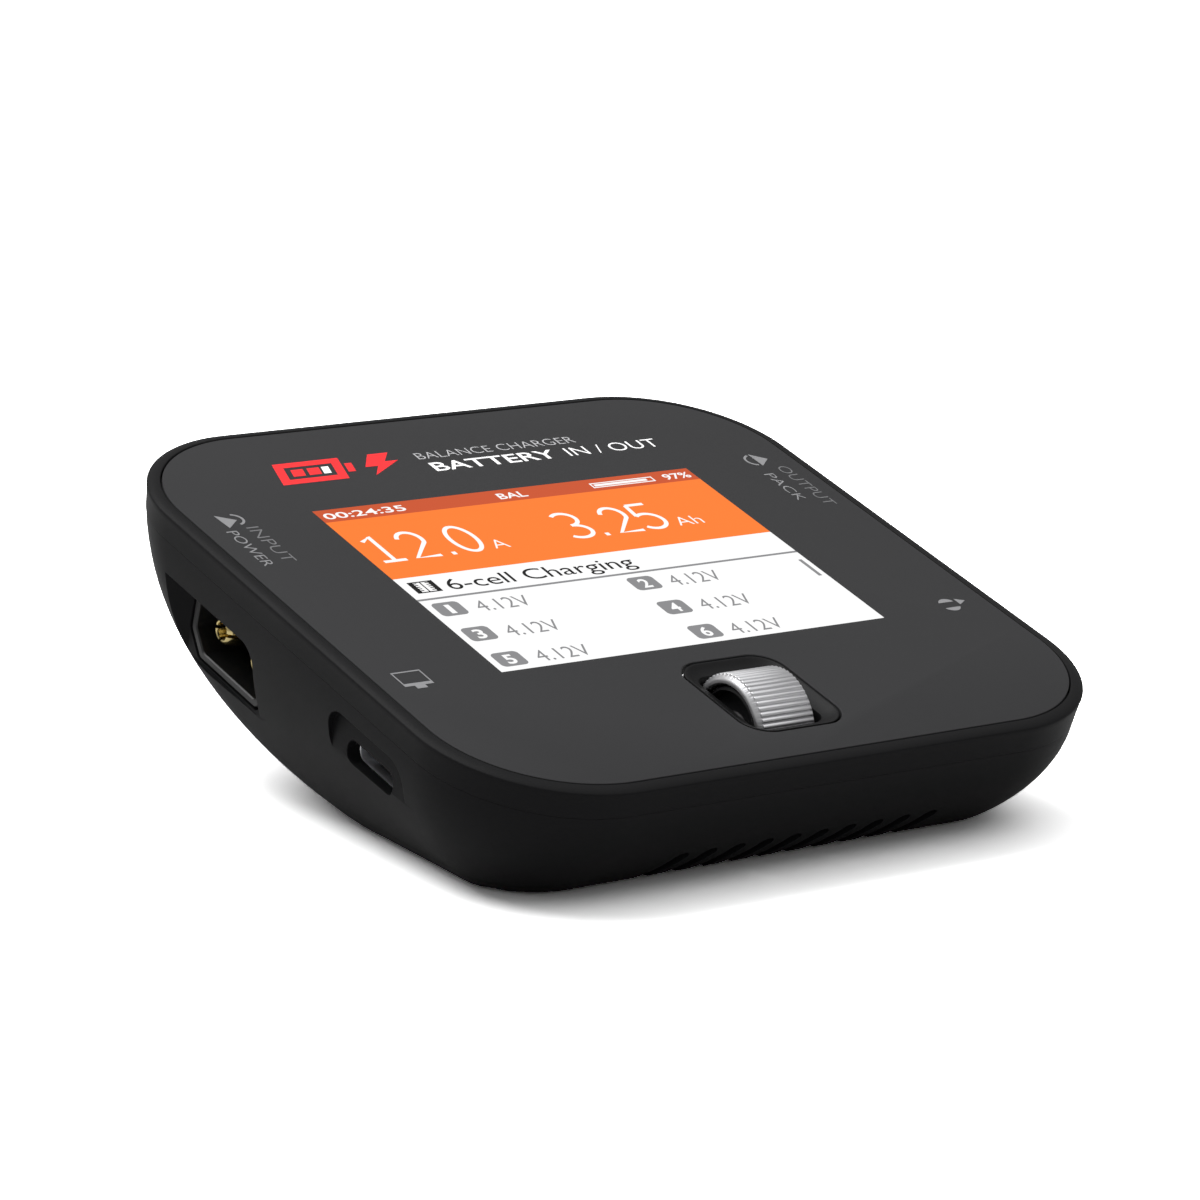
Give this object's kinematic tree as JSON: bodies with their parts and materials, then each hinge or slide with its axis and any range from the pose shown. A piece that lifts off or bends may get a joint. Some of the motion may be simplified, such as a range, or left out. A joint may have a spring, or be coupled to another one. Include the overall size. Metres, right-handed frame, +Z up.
{
  "type": "balance battery charger",
  "caption": "Square pocket charger with a sloping display panel, a ribbed thumb wheel, power, balance and data sockets, and a cooling fan.",
  "frame": {"origin": "bottom centre: on the surface the feet stand on, under the middle of the case outline", "axes": "+X to the right, +Y away from the user towards the high back edge, +Z up; the panel slopes up by 15 degrees towards +Y"},
  "size_m": [0.08, 0.0776, 0.0335],
  "materials": {
    "front_panel": "satin dark grey, printed",
    "case": "fine satin moulding",
    "inner_plastic": "satin",
    "connector_plastic": "satin",
    "wheel_metal": "machined, ribbed",
    "steel": "plated",
    "gold_contact": "gold plated",
    "display": "lit colour display",
    "tray": "pressed tray",
    "flex": "polyimide film",
    "circuit_board": "solder mask",
    "heatsink": "extruded",
    "thermal_pad": "soft silicone",
    "chip": "moulded epoxy",
    "ferrite": "pressed ferrite",
    "capacitor_can": "drawn can",
    "ivory_plastic": "nylon",
    "rubber": "moulded",
    "label": "plain printed foil"
  },
  "bodies": {
    "case": {"front_panel": "front_panel", "upper_frame": "case", "wheel_bezel": "inner_plastic", "encoder_base": "inner_plastic", "press_switch": "steel", "lcd_panel": "display", "lcd_tray": "tray", "lcd_flex": "flex", "main_board": "circuit_board", "heatsink": "heatsink", "thermal_pad": "thermal_pad", "power_transistor_1": "chip", "power_transistor_2": "chip", "power_transistor_3": "chip", "power_transistor_4": "chip", "inductor_1": "ferrite", "inductor_2": "ferrite", "capacitor_1": "capacitor_can", "capacitor_2": "capacitor_can", "capacitor_3": "capacitor_can", "capacitor_4": "capacitor_can", "buzzer": "chip", "control_chip": "chip", "shunt_resistor": "steel", "input_housing": "connector_plastic", "output_housing": "connector_plastic", "input_pin_rear": "gold_contact", "output_socket_rear": "gold_contact", "input_pin_front": "gold_contact", "output_socket_front": "gold_contact", "balance_socket": "ivory_plastic", "balance_pin_1": "gold_contact", "balance_pin_2": "gold_contact", "balance_pin_3": "gold_contact", "balance_pin_4": "gold_contact", "balance_pin_5": "gold_contact", "balance_pin_6": "gold_contact", "balance_pin_7": "gold_contact", "usb_shell": "steel", "usb_tongue": "inner_plastic", "fan_frame": "inner_plastic", "fan_lead": "rubber", "fan_connector": "ivory_plastic", "case_screw_1": "steel", "case_screw_2": "steel", "case_screw_3": "steel", "case_screw_4": "steel", "lower_shell": "case", "foot_1": "rubber", "foot_2": "rubber", "foot_3": "rubber", "foot_4": "rubber", "label_plate": "label"},
    "wheel_carriage": {"encoder_carriage": "inner_plastic", "switch_plunger": "ivory_plastic"},
    "wheel": {"thumb_wheel": "wheel_metal", "wheel_hub": "inner_plastic", "wheel_axle": "steel"},
    "fan": {"fan_rotor": "inner_plastic", "fan_shaft": "steel"}
  },
  "joints": [
    {"name": "wheel_press", "type": "slide", "parent": "case", "child": "wheel_carriage", "axis": [0, 0.2588, -0.9659], "range_m": [0, 0.00035], "stiffness_N_per_m": 1500, "springref_m": -0.0002},
    {"name": "wheel_spin", "type": "hinge", "parent": "wheel_carriage", "child": "wheel", "pos_m": [0, -0.02474, 0.01269], "axis": [1, 0, 0], "continuous": true},
    {"name": "fan_spin", "type": "hinge", "parent": "case", "child": "fan", "pos_m": [0, 0.00873, 0.01296], "axis": [0, -0.2588, 0.9659], "continuous": true}
  ]
}
